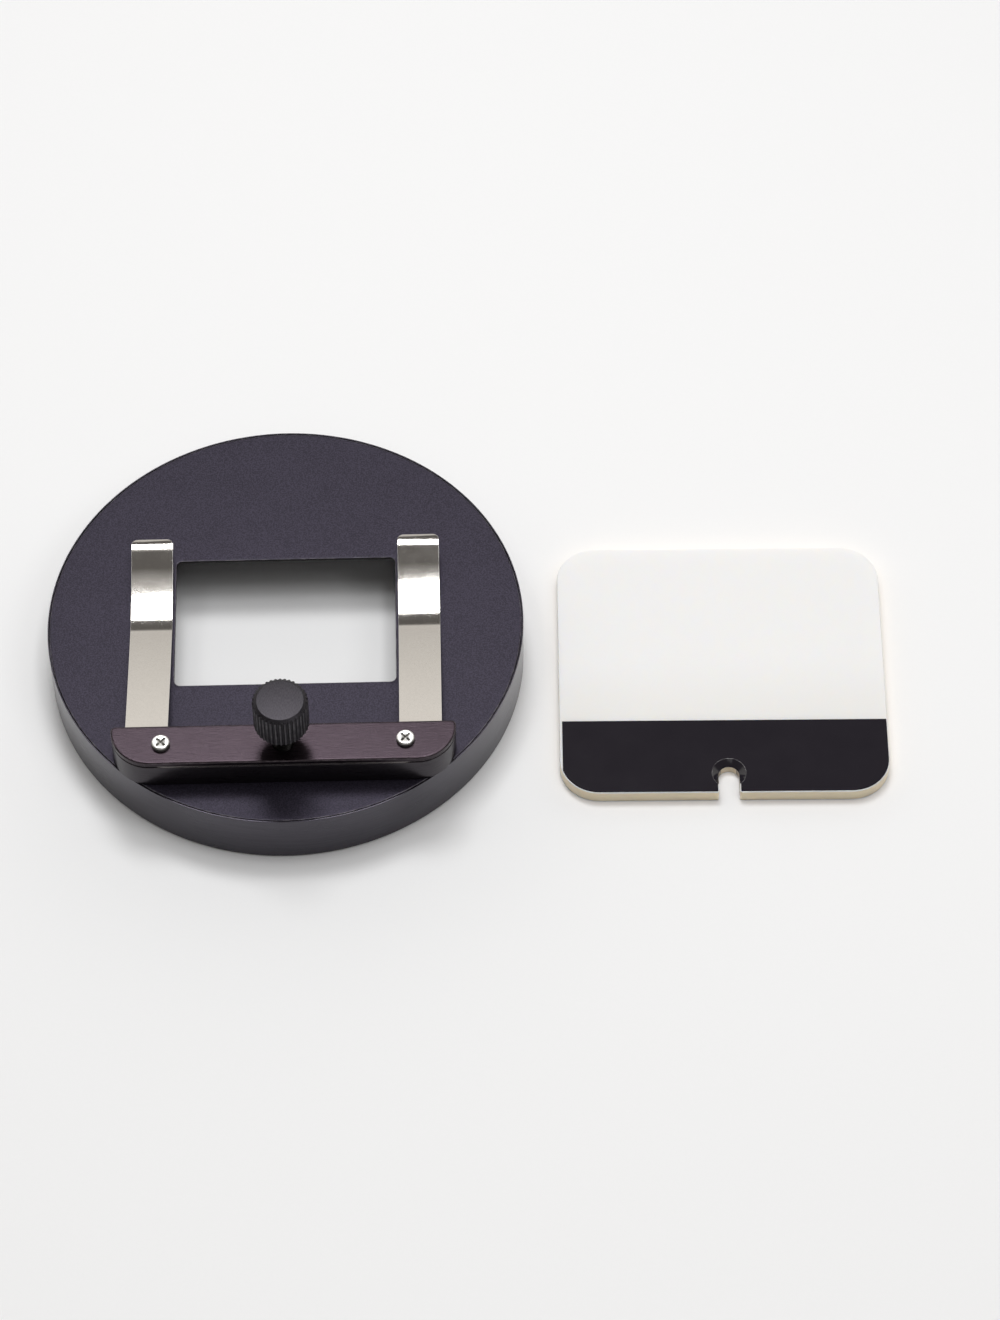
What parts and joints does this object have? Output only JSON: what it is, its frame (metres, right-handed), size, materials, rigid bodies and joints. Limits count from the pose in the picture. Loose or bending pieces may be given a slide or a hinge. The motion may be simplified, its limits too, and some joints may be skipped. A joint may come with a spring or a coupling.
{
  "type": "slide duplicator",
  "caption": "Round slip-on cap with a slide window, a stop bar, spring clips and a thumbscrew, and a loose slotted opal diffuser beside it.",
  "frame": {"origin": "centre of the cap's open end, on the surface it lies on", "axes": "+Z out of the face with the window, +Y from the stop bar towards the window, +X along the bar towards the loose diffuser"},
  "size_m": [0.1411, 0.08, 0.029],
  "materials": {
    "ring_black": "satin black",
    "plate_black": "fine blasted, black anodised, slightly purple",
    "block_black": "satin black",
    "cover_black": "brushed, black anodised, faded to brown",
    "spring_steel": "rolled and lightly polished",
    "screw_bright": "bright plated",
    "screw_dark": "blackened",
    "stud_dark": "blackened thread",
    "knob_black": "turned, grooved, black anodised",
    "opal_white": "opal, with a black print along the slotted edge",
    "print_black": "glossy black print on the opal panel's top"
  },
  "bodies": {
    "cap": {"rim_ring": "ring_black", "face_plate": "plate_black", "spacer_block": "block_black", "spring_strip": "spring_steel", "cover_plate": "cover_black", "bar_screws": "screw_bright", "block_screws": "screw_dark"},
    "leg_left": {"spring_leg_left": "spring_steel"},
    "leg_right": {"spring_leg_right": "spring_steel"},
    "stud": {"thumb_stud": "stud_dark"},
    "knob": {"thumb_knob": "knob_black"},
    "diffuser": {"diffuser_panel": "opal_white"}
  },
  "joints": [
    {"name": "leg_left_flex", "type": "hinge", "parent": "cap", "child": "leg_left", "pos_m": [-0.0225, -0.0248, 0.0158], "axis": [1, 0, 0], "range_deg": [0, 8], "stiffness_Nm_per_rad": 0.39},
    {"name": "leg_right_flex", "type": "hinge", "parent": "cap", "child": "leg_right", "pos_m": [0.0225, -0.0248, 0.0158], "axis": [1, 0, 0], "range_deg": [0, 8], "stiffness_Nm_per_rad": 0.39},
    {"name": "thumb_travel", "type": "slide", "parent": "cap", "child": "stud", "axis": [0, 0, 1], "range_m": [-0.00475, 0.001]},
    {"name": "thumb_turn", "type": "hinge", "parent": "stud", "child": "knob", "pos_m": [0, -0.0285, 0.0224], "axis": [0, 0, 1], "range_deg": [-3420, 720]},
    {"name": "diffuser_lift", "type": "slide", "parent": "cap", "child": "diffuser", "axis": [0, 0, 1], "range_m": [0, 0.06]}
  ],
  "couplings": [
    {"joint": "thumb_turn", "follows": "thumb_travel", "rad_per_m": 12566}
  ]
}
